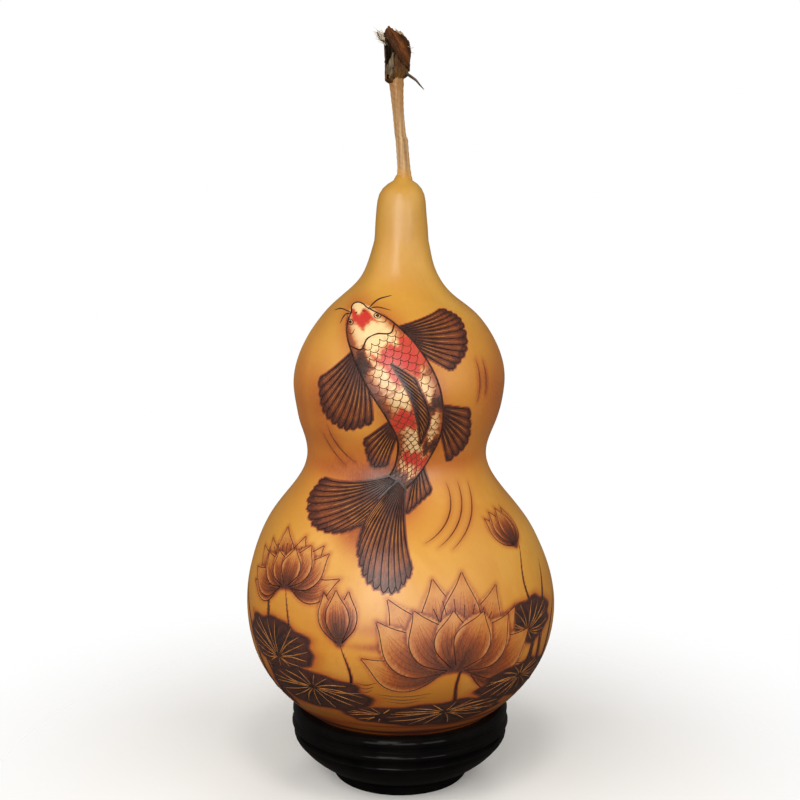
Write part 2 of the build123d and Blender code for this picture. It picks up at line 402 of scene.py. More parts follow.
class Sheet:
    """A flat drawing sheet in millimetres, laid on the skin at an angle and a height."""

    def __init__(self, around, height, turn=0.0, scale=1.0):
        self.around = math.radians(around)
        self.along = along_at(height * mm)
        self.cos, self.sin = math.cos(math.radians(turn)), math.sin(math.radians(turn))
        self.unit = scale * mm
        self.x, self.y = self.flat(skin_around, skin_along)

    def flat(self, around, along):
        """Where places on the skin lie on the sheet."""
        x = (around - self.around) * radius_at(along) / self.unit
        y = (along - self.along) / self.unit
        return x * self.cos + y * self.sin, y * self.cos - x * self.sin

    def spot(self, points):
        """The angle and the distance along the outline of points on the sheet."""
        along = self.along + (points[:, 0] * self.sin + points[:, 1] * self.cos) * self.unit
        x = (points[:, 0] * self.cos - points[:, 1] * self.sin) * self.unit
        return self.around + x / radius_at(along), along

    def near(self, points, reach):
        """The numbers of the skin points in a box round some points of the sheet."""
        low, high = points.min(axis=0) - reach, points.max(axis=0) + reach
        inside = (self.x > low[0]) & (self.x < high[0]) & (self.y > low[1]) & (self.y < high[1])
        return np.nonzero(inside)[0]


# %% Curves and soft steps
def shares(count):
    """Numbers from 0 to 1."""
    return np.linspace(0, 1, count)


def curve_through(points, count):
    """Evenly shared points on a smooth curve through a few given ones."""
    points = np.asarray(points, float)
    padded = np.vstack([2 * points[0] - points[1], points, 2 * points[-1] - points[-2]])
    place = np.linspace(0, len(points) - 1, count)
    start = np.minimum(place.astype(int), len(points) - 2)
    share = (place - start)[:, None]
    before, first, second, after = (padded[start + step] for step in range(4))
    bend = 2 * before - 5 * first + 4 * second - after
    twist = -before + 3 * first - 3 * second + after
    return 0.5 * (2 * first + (second - before) * share + bend * share**2 + twist * share**3)


def widths_along(widths, count):
    """Evenly shared widths on a smooth curve through a few given ones."""
    return curve_through([[width] for width in widths], count)[:, 0]


def way_along(line):
    """The direction of a line at each of its points, and the direction square to it."""
    way = np.gradient(line, axis=0)
    way /= np.maximum(np.hypot(way[:, 0], way[:, 1]), 1e-6)[:, None]
    return way, np.stack([-way[:, 1], way[:, 0]], axis=1)


def soft_step(value, low, high):
    """0 below one number, 1 above another, and smooth between them."""
    share = np.clip((value - low) / (high - low), 0, 1)
    return share * share * (3 - 2 * share)


print("tones are kept on", len(skin_places), "skin points")

# %% Tones
def from_stroke(x, y, line, half):
    """How far places lie outside a stroke, and how far along it and across it they are."""
    dx, dy = x[:, None] - line[:, 0], y[:, None] - line[:, 1]
    outside = np.hypot(dx, dy) - half
    best = outside.argmin(axis=1)
    row = np.arange(len(x))
    square = way_along(line)[1][best]
    across = square[:, 0] * dx[row, best] + square[:, 1] * dy[row, best]
    return outside[row, best], best / (len(line) - 1), across / np.maximum(half[best], 0.05)


def stroke(sheet, line, half, soft_in=0.5, soft_out=0.4):
    """Cover a stroke's place: skin points near it, how far each is covered, and where it lies."""
    near = sheet.near(line, half.max() + margin)
    outside, along, across = from_stroke(sheet.x[near], sheet.y[near], line, half)

    def is_inside(x, y):
        return from_stroke(x, y, line, half)[0] < -0.1

    covers.append((sheet, is_inside, line, half.max(), len(lines)))
    return near, 1 - soft_step(outside, -soft_in, soft_out), along, across


def lay(near, cover, burn_and_shade, pale=0.0, red=0.0):
    """Lay new tones over the old ones, as far as each point is covered."""
    for name, value in (("burn_and_shade", burn_and_shade), ("pale", pale), ("red", red)):
        tones[name][near] = tones[name][near] * (1 - cover) + value * cover


def smoke(sheet, line, half, reach, depth):
    """A soft scorch around a stroke, which only ever darkens."""
    near = sheet.near(line, half.max() + reach)
    outside = from_stroke(sheet.x[near], sheet.y[near], line, half)[0]
    scorch = depth * (1 - soft_step(outside, -0.4 * reach, reach))
    tones["burn_and_shade"][near] = np.maximum(tones["burn_and_shade"][near], tones["burn_and_shade"][near] * 0.65 + scorch)


# %% Sharp lines
def mark(sheet, points, half, kind):
    """Keep a sharp line of a kind, with its points set close together and a half width at each."""
    points = np.asarray(points, float)
    reach = np.concatenate([[0], np.cumsum(np.hypot(*np.diff(points, axis=0).T))])
    count = max(4, int(reach[-1] * sheet.unit / (line_step * mm)) + 1)
    place = np.linspace(0, reach[-1], count)
    fine = np.stack([np.interp(place, reach, points[:, axis]) for axis in (0, 1)], axis=1)
    half = np.interp(place, reach, np.broadcast_to(half, len(points)))
    kept = {"sheet": sheet, "kind": kind, "points": fine, "half": half, "spot": sheet.spot(fine)}
    lines.append(kept)


def tapered(sheet, points, thick, kind, tip=0.2):
    """A sharp line along a smooth curve, drawn out thin at both ends."""
    count = 20
    swell = tip + (1 - tip) * np.sin(math.pi * shares(count)) ** 0.6
    mark(sheet, curve_through(points, count), 0.5 * thick * swell, kind)


# %% [markdown]
# ## The carp
# A carp in swirling water is one of the oldest good-luck signs on such gourds. We see it from
# above. Its body is one fat stroke: a curved spine with a width along it. Its fins are webs
# between a base line and a tip line, dark at the root and thin at the edge. The back carries
# cream, red and black patches, and scales, fin rays and the outline are sharp lines.

# %% Carp: spine
carp = Sheet(around=2, height=231, scale=1.14)
carp_count = 80
carp_bends = [(-21, 42), (-16, 29), (-6, 13), (4, -4), (8, -21), (4, -37), (-5, -49)]
carp_spine = curve_through(carp_bends, carp_count)
carp_half = widths_along([4.4, 10.6, 13.4, 14.8, 14.6, 13.0, 10.4, 7.6, 5.4, 4.2], carp_count)
carp_way, carp_right = way_along(carp_spine)


def on_carp(share, across):
    """A place on the carp: share of the way to its tail, and -1 to 1 from its left to its right."""
    number = np.clip(share, 0, 1) * (carp_count - 1)
    low = int(min(number, carp_count - 2))
    part = number - low
    middle = carp_spine[low] * (1 - part) + carp_spine[low + 1] * part
    half = carp_half[low] * (1 - part) + carp_half[low + 1] * part
    return middle + carp_right[low] * half * across


def by_carp(share, side, out, back=0):
    """A place beside the carp: millimetres out from its edge and back towards its tail."""
    number = int(share * (carp_count - 1))
    return on_carp(share, side) + side * carp_right[number] * out + carp_way[number] * back


print("carp spine", carp_count, "points")

# %% Carp: fins
ray_columns, web_rows = 4, 44
smoke_reach = 13.0


def web(base, tips, rays, sweep=0.0, root=1.0, thin=0.54, pale=0.30):
    """A fin: a thin web between a base line and a tip line, with fine rays through it."""
    columns = ray_columns * (rays - 1) + 1
    roots, ends = curve_through(base, columns), curve_through(tips, columns)
    way = ends - roots
    ends = ends + 0.07 * way * np.abs(np.sin(math.pi * (rays - 1) * shares(columns)))[:, None]
    hold = (roots + ends) / 2 + sweep * np.stack([-way[:, 1], way[:, 0]], axis=1)
    out = shares(web_rows)[:, None, None]
    mesh = (1 - out) ** 2 * roots + 2 * out * (1 - out) * hold + out**2 * ends
    flat = mesh.reshape(-1, 2)

    def gap(x, y):
        apart = np.hypot(x[:, None] - flat[:, 0], y[:, None] - flat[:, 1])
        return apart.min(axis=1), apart.argmin(axis=1)

    near = carp.near(flat, margin)
    apart, best = gap(carp.x[near], carp.y[near])
    along, across = best // columns / (web_rows - 1), best % columns / (columns - 1)
    covers.append((carp, lambda x, y: gap(x, y)[0] < 0.8, flat, 0.5, len(lines)))
    ribs = 0.10 * np.cos(2 * math.pi * (rays - 1) * across)
    burn_and_shade = root - (root - thin) * along**0.75 + 0.30 * soft_step(along, 0.80, 1.0) + ribs
    cover = 1 - soft_step(apart, 0.45, 1.4)
    lay(near, cover, np.clip(burn_and_shade, 0, 1), pale * soft_step(along, 0.2, 0.7))
    mark(carp, mesh[-1], 0.20, "burnt")
    for column in range(0, columns, ray_columns):
        mark(carp, mesh[:, column], 0.13 + 0.16 * np.sin(math.pi * shares(web_rows)), "burnt")
        if column:
            strip = mesh[int(0.3 * web_rows):int(0.9 * web_rows), column - ray_columns // 2]
            half = 0.22 * np.sin(math.pi * shares(len(strip))) + 0.04
            mark(carp, strip, half, "scraped")


def fin(side, base, tips, rays, sweep=0.0):
    """A fin at one side of the carp, between two rows of places beside it."""
    roots = [by_carp(share, side, *place) for share, *place in base]
    web(roots, [by_carp(share, side, *place) for share, *place in tips], rays, sweep)


tail_middle = curve_through([(-5, -50), (-12, -58), (-18, -66)], 20)
smoke(carp, carp_spine, carp_half, smoke_reach, 0.36)
smoke(carp, tail_middle, np.full(len(tail_middle), 11.0), smoke_reach, 0.40)
breast_tips = [(0.21, 23, 3), (0.23, 27, 14), (0.25, 20, 24), (0.28, 7, 24)]
for side in (-1, 1):
    fin(side, [(0.215, -2.5), (0.285, -2.5)], breast_tips, 12, -0.06 * side)
    fin(side, [(0.56, -2), (0.62, -2)], [(0.57, 13, 6), (0.62, 12, 15), (0.66, 4, 15)], 8)
fin(1, [(0.80, -2), (0.86, -1)], [(0.84, 8, 5), (0.90, 6, 12)], 6)
print("fins", len(lines), "lines")

# %% Carp: body tones
scales_along, scale_columns = 44, 3
carp_near, carp_cover, carp_along, carp_across = stroke(carp, carp_spine, carp_half, 0.5, 0.35)
carp_edge = soft_step(np.abs(carp_across), 0.50, 1.05)
behind_head = soft_step(carp_along, 0.19, 0.23)
scale_place = carp_along * scales_along
stagger = (carp_across * scale_columns + 0.5 * (np.floor(scale_place) % 2)) % 1 - 0.5
scale_dip = soft_step(scale_place % 1 + 1.4 * stagger**2, 0.62, 1.15)
carp_burn = 0.03 + 0.50 * carp_edge + 0.16 * soft_step(-carp_across, 0.1, 0.9)
carp_burn += behind_head * 0.26 * scale_dip * (1 - 0.5 * carp_edge)
lay(carp_near, carp_cover, np.clip(carp_burn, 0, 1), 0.95 - 0.55 * carp_edge)
ripple = 0.10 * np.sin(27 * carp_along) + 0.06 * np.sin(49 * carp_along + 1)
wave = 0.012 * np.sin(9 * carp_across) + 0.008 * np.sin(17 * carp_across + 2)


def between(value, first, last, soft):
    """1 between two numbers, 0 outside them, and soft at both ends."""
    return soft_step(value, first, first + soft) * (1 - soft_step(value, last - soft, last))


def patch(first, last, low, high):
    """How far each point of the carp is covered by a patch with an uneven edge."""
    lengthwise = between(carp_along + wave, first, last, 0.03)
    return carp_cover * lengthwise * between(carp_across + ripple, low, high, 0.16)


for sides in (
    (0.035, 0.155, -0.62, 0.58), (0.26, 0.43, -0.35, 1.2), (0.50, 0.63, -1.2, 0.30),
    (0.74, 0.84, -0.6, 1.2),
):
    lay(carp_near, patch(*sides), np.clip(0.5 * carp_burn, 0, 1), 0.1, 1.0)
for sides in (
    (0.225, 0.33, -1.2, -0.35), (0.50, 0.58, 0.45, 1.2), (0.66, 0.75, 0.20, 1.2),
    (0.86, 1.0, -1.2, 1.2),
):
    lay(carp_near, patch(*sides), np.clip(0.80 + 0.3 * carp_burn, 0, 1))
print("carp body", len(carp_near), "skin points")

# %% Carp: head
def carp_curve(side, places, thick, kind, tip=0.2):
    """A tapered line through places on one half of the carp."""
    tapered(carp, [on_carp(share, out * side) for share, out in places], thick, kind, tip)


outline_half = 0.42
whole_turn = np.linspace(0, 2 * math.pi, 15)
eye_ring = np.stack([np.cos(whole_turn), np.sin(whole_turn)], axis=1)
for side in (-1, 1):
    mark(carp, [on_carp(share, side) for share in shares(60)], outline_half, "burnt")
    carp_curve(side, [(0.195, 0.0), (0.20, 0.25), (0.225, 0.62), (0.19, 0.98)], 0.8, "burnt", 0.6)
    carp_curve(side, [(0.13, 0.55), (0.15, 0.75), (0.13, 0.97)], 0.5, "brown")
    carp_curve(side, [(0.02, 0.25), (0.03, 0.4), (0.025, 0.55)], 0.7, "burnt")
    for out, back in ((13, -5), (9, 4)):
        root, tip = by_carp(0.02, side, -1), by_carp(0.02, side, out, back)
        tapered(carp, [root, (root + tip) / 2 - 2.0 * carp_way[0], tip], 0.8, "burnt")
    for ring_radius, half in ((1.7, 0.25), (0.55, 0.6)):
        mark(carp, on_carp(0.085, 0.80 * side) + ring_radius * eye_ring, half, "burnt")
nose = np.linspace(-math.pi / 2, math.pi / 2, 13)[:, None]
nose_bow = np.sin(nose) * carp_right[0] - np.cos(nose) * carp_way[0]
mark(carp, carp_spine[0] + carp_half[0] * nose_bow, outline_half, "burnt")
print("carp with its head", len(lines), "lines")

# %% Carp: scales, back fin and tail
scale_rows, scale_width, scale_drop = 32, 0.333, 2.6
scale_bow = np.linspace(-1.45, 1.45, 9)[:, None]
for row in range(scale_rows):
    share = 0.222 + row / scales_along
    number = int(share * (carp_count - 1))
    size = 0.5 * scale_width * carp_half[number]
    bowed = np.cos(scale_bow) * carp_way[number] * scale_drop
    bowed = bowed + np.sin(scale_bow) * carp_right[number] * size
    for column in range(-scale_columns, scale_columns + 1):
        across = (column + 0.5 * (row % 2)) * scale_width
        if abs(across) < 0.92:
            mark(carp, on_carp(share, across) + bowed, 0.17, "brown")
back_root = [on_carp(0.34, 0.02), on_carp(0.48, 0.02), on_carp(0.62, 0.0)]
back_edge = [on_carp(0.43, 0.36), on_carp(0.58, 0.40), on_carp(0.71, 0.14)]
web(back_root, back_edge, 13, 0.04, 0.98, 0.6, 0.1)
tail_root = [on_carp(0.94, -0.95), on_carp(0.93, 0.0), on_carp(0.94, 0.95)]
web(tail_root[:2], [(-40, -46), (-47, -56), (-42, -67), (-30, -69), (-17, -64)], 14, 0.10)
web(tail_root[1:], [(-17, -64), (-20, -77), (-16, -90), (-5, -94), (3, -86)], 14, -0.10)
print("carp", len(lines), "lines")

# %% Rings in the water
ring_count, ring_squash = 40, 0.8


def water_rings(middle, radii, first, last):
    """Broken rings that spread in the water round a place, between two angles."""
    half = 1.1 * np.sin(math.pi * shares(ring_count)) + 0.05
    for number, radius in enumerate(radii):
        angle = np.radians(np.linspace(first + 6 * number, last - 4 * number, ring_count))
        bow = np.stack([np.cos(angle), ring_squash * np.sin(angle)], axis=1)
        line = np.array(middle) + radius * bow
        smoke(carp, line, half, 3.0, 0.26)
        mark(carp, line, 0.28 * half + 0.04, "brown")


water_rings((-6, -54), (30, 36, 42), -58, 20)
water_rings((2, -8), (42, 47), 198, 236)
water_rings((0, 2), (40, 45), -16, 20)
print("with rings", len(lines), "lines")

# %% [markdown]
# ## The lotus pond
# Below the waist lies the pond. A lotus flower is built from its back row of petals to its front
# row, and every petal first throws a little scorch on what lies behind it, so that its pale edge
# stands out. The leaves are round pads, seen from the side as flat ovals, burnt almost black, with
# ribs scraped through the burn. Reeds and stems are long thin strokes.

# %% Petals
chance = np.random.default_rng(5)
petal_count = 26
petal_widths = [0.20, 0.46, 0.72, 0.92, 1.0, 0.96, 0.80, 0.52, 0.24, 0.02]
lotus_rows = [
    ((-48, 48, -24, 24, 0), 37, 8.6, 0.85), ((-86, 86), 35, 7.4, 0.74), ((-64, 64), 35, 8.6, 0.72),
    ((-38, 38), 30, 9.0, 0.68), ((-14, 16), 25, 8.8, 0.64),
]


def petal(sheet, root, angle, length, half, bend, deep):
    """A petal: scorched at its root, pale at its edge, with a burnt outline and fine veins."""
    lean = math.radians(angle)
    way = np.array([math.sin(lean), math.cos(lean)])
    side = np.array([way[1], -way[0]])
    root = np.array(root, float)
    middle = root + way * 0.5 * length + side * bend * length
    line = curve_through([root, middle, root + way * length], petal_count)
    width = half * widths_along(petal_widths, petal_count) + 0.1
    smoke(sheet, line, width, 3.4, 0.44)
    near, cover, along, across = stroke(sheet, line, width)
    edge = soft_step(np.abs(across), 0.55, 1.0)
    streak = 0.07 * np.sin(8 * across + 3 * angle) * (1 - along)
    shade = deep * (1 - soft_step(along, 0.05, 0.95)) + 0.12
    shade = shade + 0.22 * soft_step(along, 0.78, 1.0) + streak
    lay(near, cover, np.clip(shade * (1 - 0.5 * edge), 0, 1), 0.08 + 0.42 * edge)
    square = way_along(line)[1]
    for share in (-1, 1):
        rim_line = line + share * square * width[:, None]
        mark(sheet, rim_line, 0.30 - 0.10 * shares(petal_count), "burnt")
    for share in (-0.62, -0.36, -0.12, 0.12, 0.36, 0.62):
        vein = (line + share * square * width[:, None])[2:21 - int(6 * abs(share))]
        mark(sheet, vein, 0.14 * (1 - shares(len(vein))) + 0.04, "brown")


# %% Stamens and flowers
def stamens(sheet, size, lean):
    """Fine stamens that stand up behind the front petals."""
    for number in range(15):
        bearing = math.radians(-70 + 10 * number + lean)
        reach = size * chance.uniform(25, 30)
        tip = np.array([math.sin(bearing), math.cos(bearing)]) * reach
        mark(sheet, [0.55 * tip, tip], [0.12, 0.22], "burnt")


def lotus(sheet, size, lean):
    """A lotus flower seen from the side, from its back row of petals to its front row."""
    for number, (angles, length, half, deep) in enumerate(lotus_rows):
        for angle in angles:
            turn = lean + angle + chance.uniform(-5, 5)
            stretch = size * chance.uniform(0.93, 1.07)
            root = (0.07 * angle * size, -0.012 * abs(angle) * size)
            petal(sheet, root, turn, length * stretch, half * stretch, 0.0016 * angle, deep)
        if number == 0:
            stamens(sheet, size, lean)


def bud(sheet, length, petals):
    """A closed flower of a few upright petals."""
    for angle, half in petals:
        petal(sheet, (0, 0), angle, length, half, 0.004 * angle, 0.75)


# %% Lotus pads
pad_waves, pad_ribs = 7, 17


def pad(sheet, wide, tall, middle, hub, deep=0.98):
    """A lotus leaf: an oval with a wavy edge and ribs that spread from its hub."""
    middle = np.array(middle, float)

    def outside(x, y):
        x, y = (x - middle[0]) / wide, (y - middle[1]) / tall
        bearing = np.arctan2(y, x)
        edge = 1 + 0.05 * np.sin(pad_waves * bearing + wide)
        edge = edge + 0.035 * np.sin((pad_waves + 4) * bearing + tall)
        return (np.hypot(x, y) - edge) * tall, bearing

    box = middle + 1.1 * np.array([(-wide, -tall), (wide, tall)])
    covers.append((sheet, lambda x, y: outside(x, y)[0] < 0, box, 0.0, len(lines)))
    near = sheet.near(box, 6.0)
    gap, bearing = outside(sheet.x[near], sheet.y[near])
    scorch = 0.40 * (1 - soft_step(gap, -1.0, 5.0))
    tones["burn_and_shade"][near] = np.maximum(tones["burn_and_shade"][near], scorch)
    inside = -gap / tall
    ridge = 0.10 * np.cos(pad_ribs * bearing) * soft_step(inside, 0.05, 0.5)
    bright = 0.12 * soft_step(inside, 0.02, 0.16) * (1 - soft_step(inside, 0.16, 0.70))
    lay(near, 1 - soft_step(gap, -0.9, 0.8), np.clip(deep - bright + ridge, 0, 1))
    root = middle + np.array(hub) * (wide, tall)
    for number in range(pad_ribs):
        angle = 2 * math.pi * (number + chance.uniform(-0.25, 0.25)) / pad_ribs
        edge_place = np.array([wide * math.cos(angle), tall * math.sin(angle)])
        tip = middle + chance.uniform(0.86, 0.95) * edge_place
        square = np.array([root[1] - tip[1], tip[0] - root[0]])
        bent = (root + tip) / 2 + chance.uniform(-0.06, 0.06) * square
        tapered(sheet, [root + 0.10 * (tip - root), bent, tip], 0.75, "scraped", 0.15)


# %% Reeds and smears
reed_count, broad_reed = 40, 1.2


def reed(sheet, points, half):
    """A long tapering leaf or stem. A broad one has a scraped line along it."""
    line = curve_through(points, reed_count)
    width = half * (1 - shares(reed_count) ** 2.4) + 0.15
    near, cover, along, across = stroke(sheet, line, width, 0.4, 0.6)
    lay(near, cover, np.clip(0.95 - 0.30 * along - 0.2 * soft_step(across, 0.0, 0.9), 0, 1))
    mark(sheet, line, np.minimum(0.55 * width, 0.6), "burnt")
    if half > broad_reed:
        tapered(sheet, line[4:34:6] + 0.3 * half, 0.45, "scraped")


def smear(around, height, wide, tall, depth):
    """A soft flat darkening in the burn tone, used for scorches, for the shade of water and for
    painted shade.
    """
    cloud = Sheet(around, height)
    drift = 1 + 0.35 * np.sin(0.11 * cloud.x + 0.9 * height)
    shade = depth * np.exp(-(cloud.x / wide) ** 2 - (cloud.y * drift / tall) ** 2)
    tones["burn_and_shade"][:] = np.maximum(tones["burn_and_shade"], tones["burn_and_shade"] * 0.6 + shade)


# %% Scorched ground, water and painted shade
# Most smears are scorch and the shade of the water in the picture. The pair at 66 degrees left and
# right of the front darken the far edges of the upper bulb: partly scorch, partly painted shade.
# The low bands from 40 to 66 mm darken the skin where it sinks into the stand: partly burnt ground,
# partly painted shade. The two at 40 and 46 mm run all the way round.
for place_and_size in (
    (-66, 222, 20, 30, 0.30), (-44, 224, 15, 24, 0.28), (-40, 202, 24, 12, 0.20),
    (66, 226, 32, 38, 0.33), (-30, 186, 36, 9, 0.34), (40, 190, 20, 8, 0.20),
    (6, 112, 34, 3.4, 0.42), (-2, 103, 26, 2.4, 0.46), (12, 97, 18, 2.0, 0.40),
    (-6, 66, 46, 4.0, 0.40), (30, 60, 40, 3.0, 0.45), (-50, 62, 40, 4.0, 0.50),
    (0, 52, 60, 2.6, 0.55), (-70, 50, 50, 3.0, 0.60), (60, 52, 60, 3.0, 0.60),
    (0, 46, 300, 3.4, 0.80), (0, 40, 300, 4.0, 0.92),
):
    smear(*place_and_size)
print("mean burn of the skin's points:", round(float(tones["burn_and_shade"].mean()), 3))

# %% Left of the pond
pond_left = Sheet(around=-36, height=92)
reed(pond_left, [(-30, -38), (-27, 1), (-30, 40)], 2.5)
reed(pond_left, [(-22, -40), (-32, -12), (-48, 16)], 2.5)
reed(pond_left, [(-38, -34), (-48, -4), (-64, 26)], 2.5)
reed(pond_left, [(-2, -28), (-7, 4), (-15, 36)], 1.1)
lotus(Sheet(around=-47, height=128, turn=8), 0.82, -8)
pad(pond_left, 29, 14, (-22, 3), (0.1, -0.5), 0.97)
reed(pond_left, [(18, -28), (28, -8), (23, 12)], 1.0)
bud(Sheet(around=-21, height=104, turn=8), 27, ((-15, 5.8), (15, 5.8), (0, 6.6)))
pad(pond_left, 34, 13, (2, -20), (0.05, 0.25))
pad(pond_left, 24, 8, (40, -34), (-0.1, 0.2), 0.93)
print("with the left of the pond", len(lines), "lines")

# %% Right of the pond
pond_right = Sheet(around=30, height=94)
reed(pond_right, [(44, -34), (48, 3), (58, 40)], 2.5)
reed(pond_right, [(52, -32), (60, -6), (74, 20)], 2.4)
reed(pond_right, [(36, -36), (37, -11), (44, 14)], 2.1)
reed(pond_right, [(30, -20), (40, 8), (34, 34), (38, 54)], 1.0)
pad(pond_right, 24, 12, (36, 12), (-0.1, -0.4), 0.96)
reed(pond_right, [(-10, -36), (-14, -14), (-9, 6)], 1.1)
lotus(Sheet(around=20, height=91, turn=-4), 1.26, 5)
bud(Sheet(around=56, height=146, turn=8), 22, ((-26, 5.4), (26, 5.4), (-9, 6.0), (10, 5.8)))
pad(pond_right, 30, 12, (30, -22), (0.0, 0.3))
pad(pond_right, 36, 11, (-14, -36), (-0.05, 0.25), 0.96)
print("with the right of the pond", len(lines), "lines")

# %% Ripples
ripples = Sheet(around=0, height=72)
ripple_gap = 2.4
for (middle_x, middle_y), wide in (((2, 5), 15), ((-18, 12), 6)):
    for number in range(3):
        y = middle_y - ripple_gap * number
        reach = wide * (1 - 0.2 * number)
        hollow = [(middle_x - reach, y), (middle_x, y - 1.4), (middle_x + reach, y + 0.4)]
        tapered(ripples, hollow, 0.55, "brown", 0.1)
print("picture", len(lines), "lines under", len(covers), "covers")

# %% [markdown]
# ## Wrapping the lines
# First we hide what later shapes cover. What is left of each line becomes a flat curve with a
# small bevel. The lines of one kind become one mesh, pressed almost flat and wrapped onto the
# skin, so that only a hair's thickness stands proud.

# %% Hide covered lines
line_starts = np.cumsum([0] + [len(line["half"]) for line in lines])
line_around = np.concatenate([line["spot"][0] for line in lines])
line_along = np.concatenate([line["spot"][1] for line in lines])
shown = np.ones(len(line_around), bool)
for sheet, is_inside, points, reach, first_lines in covers:
    x, y = sheet.flat(line_around, line_along)
    low, high = points.min(axis=0) - reach, points.max(axis=0) + reach
    near = (x > low[0]) & (x < high[0]) & (y > low[1]) & (y < high[1]) & shown
    near = np.nonzero(near[:line_starts[first_lines]])[0]
    shown[near] = ~is_inside(x[near], y[near])
print("hidden", round(1 - float(shown.mean()), 2), "of the line points")

# %% Curves for the lines
line_press, line_rise = 0.30, 0.00004


def visible_runs(number):
    """The stretches of one line that nothing covers."""
    seen = np.concatenate([[False], shown[line_starts[number]:line_starts[number + 1]], [False]])
    turns = np.nonzero(np.diff(seen.astype(int)))[0]
    return [(first, last) for first, last in zip(turns[::2], turns[1::2]) if last - first > 2]


def curve_mesh(routes, resolution=0, bevel=mm):
    """A mesh of round strands: each route is its places in metres and its radii in millimetres."""
    bpy.ops.object.select_all(action="DESELECT")
    bpy.ops.curve.primitive_nurbs_path_add(location=(0, 0, 0))
    curve = bpy.context.object
    curve.data.splines.clear()
    curve.data.bevel_depth = bevel
    curve.data.bevel_resolution = resolution
    curve.data.use_fill_caps = bevel > 0
    for places, radii in routes:
        spline = curve.data.splines.new("POLY")
        spline.points.add(len(places) - 1)
        spline.points.foreach_set("co", np.column_stack([places, np.ones(len(places))]).ravel())
        spline.points.foreach_set("radius", np.ascontiguousarray(radii, float))
    bpy.ops.object.convert(target="MESH")
    return bpy.context.object


def flat_curves(sheet, numbers):
    """A mesh of bevelled curves for some lines of one sheet, wrapped onto the skin."""
    routes = []
    for number in numbers:
        for first, last in visible_runs(number):
            flat = np.zeros((last - first, 3))
            flat[:, :2] = lines[number]["points"][first:last] * mm
            routes.append((flat, lines[number]["half"][first:last]))
    made = curve_mesh(routes)
    places = points_of(made)
    around, along = sheet.spot(places[:, :2] / mm)
    move_points(made, skin_point(around, along, places[:, 2] * line_press + line_rise))
    return made


# %% Wrap the lines of one kind
def wrapped_lines(kind):
    """One piece with all the lines of a kind."""
    by_sheet = {}
    for number, line in enumerate(lines):
        if line["kind"] == kind and visible_runs(number):
            by_sheet.setdefault(line["sheet"], []).append(number)
    parts = [flat_curves(sheet, numbers) for sheet, numbers in by_sheet.items()]
    pick(parts[0])
    for part in parts:
        part.select_set(True)
    bpy.ops.object.join()
    made = bpy.context.object
    made.name = kind + "_lines"
    close_up(made, 1e-7)
    settle(made, "gourd", "gourd_skin")
    return made


line_pieces = {kind: wrapped_lines(kind) for kind in ("burnt", "brown", "scraped")}

# %% Store the tones on the skin
def store(piece, name, values):
    """Keep a value between 0 and 1 on each point of a piece, for its finish to read."""
    layer = piece.data.attributes.new(name, "FLOAT", "POINT")
    layer.data.foreach_set("value", np.clip(values, 0, 1))


for name, values in tones.items():
    store(gourd_skin, name, values)
print("share of the skin's points that are burnt:", round(float((tones["burn_and_shade"] > 0.3).mean()), 3))

# %% [markdown]
# ## The skin's finish
# Dried gourd skin is amber, paler at the neck, faintly mottled and speckled with pores. Towards
# the bottom, where it sinks into the stand, its colour darkens to brown: painted shade. Wax gives
# it a soft gloss. The burn darkens it from orange through brown to black, and fine streaks in the
# burn show the strokes of the hot point. A few small helpers keep the node trees easy to read.

# %% Colours and values in a finish
def colour_mix(tree, share, first, second):
    """Mix two colours, each of them three numbers or a socket."""
    inputs = {0: share}
    for number, colour in ((6, first), (7, second)):
        inputs[number] = colour if isinstance(colour, bpy.types.NodeSocket) else (*colour, 1)
    return put(tree, "ShaderNodeMix", inputs, data_type="RGBA", clamp_result=True).outputs[2]


def ramp(tree, value, stops):
    """A colour ramp from a list of places and colours."""
    made = put(tree, "ShaderNodeValToRGB", {"Fac": value})
    elements = made.color_ramp.elements
    while len(elements) < len(stops):
        elements.new(0.5)
    for element, (place, colour) in zip(elements, stops):
        element.position = place
        element.color = (*colour, 1)
    return made.outputs["Color"]


def arithmetic(tree, operation, first, second):
    """One sum on two values."""
    return put(tree, "ShaderNodeMath", {0: first, 1: second}, operation=operation).outputs[0]


def spread(tree, value, low, high, to_low, to_high):
    """Stretch a value from one range to another."""
    ranges = {"Value": value, "From Min": low, "From Max": high}
    ranges |= {"To Min": to_low, "To Max": to_high}
    return put(tree, "ShaderNodeMapRange", ranges).outputs["Result"]


def over(tree, ground, value, low, high, most, colour):
    """Lay a colour over a ground, from nothing at one value to the most at another."""
    return colour_mix(tree, spread(tree, value, low, high, 0, most), ground, colour)


# %% Patterns and bumps
def noise(tree, place, scale, detail=3.0, rough=0.55, warp=0.0):
    """A cloudy value between 0 and 1."""
    settings = {"Vector": place, "Scale": scale, "Detail": detail}
    settings |= {"Roughness": rough, "Distortion": warp}
    return put(tree, "ShaderNodeTexNoise", settings).outputs["Fac"]


def leant(tree, place, lean):
    """A place leant to one side."""
    turn = {"Vector": place, "Rotation": (0, lean, 0)}
    return put(tree, "ShaderNodeMapping", turn).outputs["Vector"]


def stretched(tree, place, scale, lean=0.0):
    """A place leant, and squeezed or drawn out along each axis, for grain and streaks."""
    squeeze = {"Vector": leant(tree, place, lean), "Scale": scale}
    return put(tree, "ShaderNodeMapping", squeeze).outputs["Vector"]


def height_of(tree, place):
    """The upright part of a place."""
    return put(tree, "ShaderNodeSeparateXYZ", {"Vector": place}).outputs["Z"]


def attribute(tree, name):
    """A value that is stored on the points of a piece."""
    return put(tree, "ShaderNodeAttribute", attribute_name=name).outputs["Fac"]


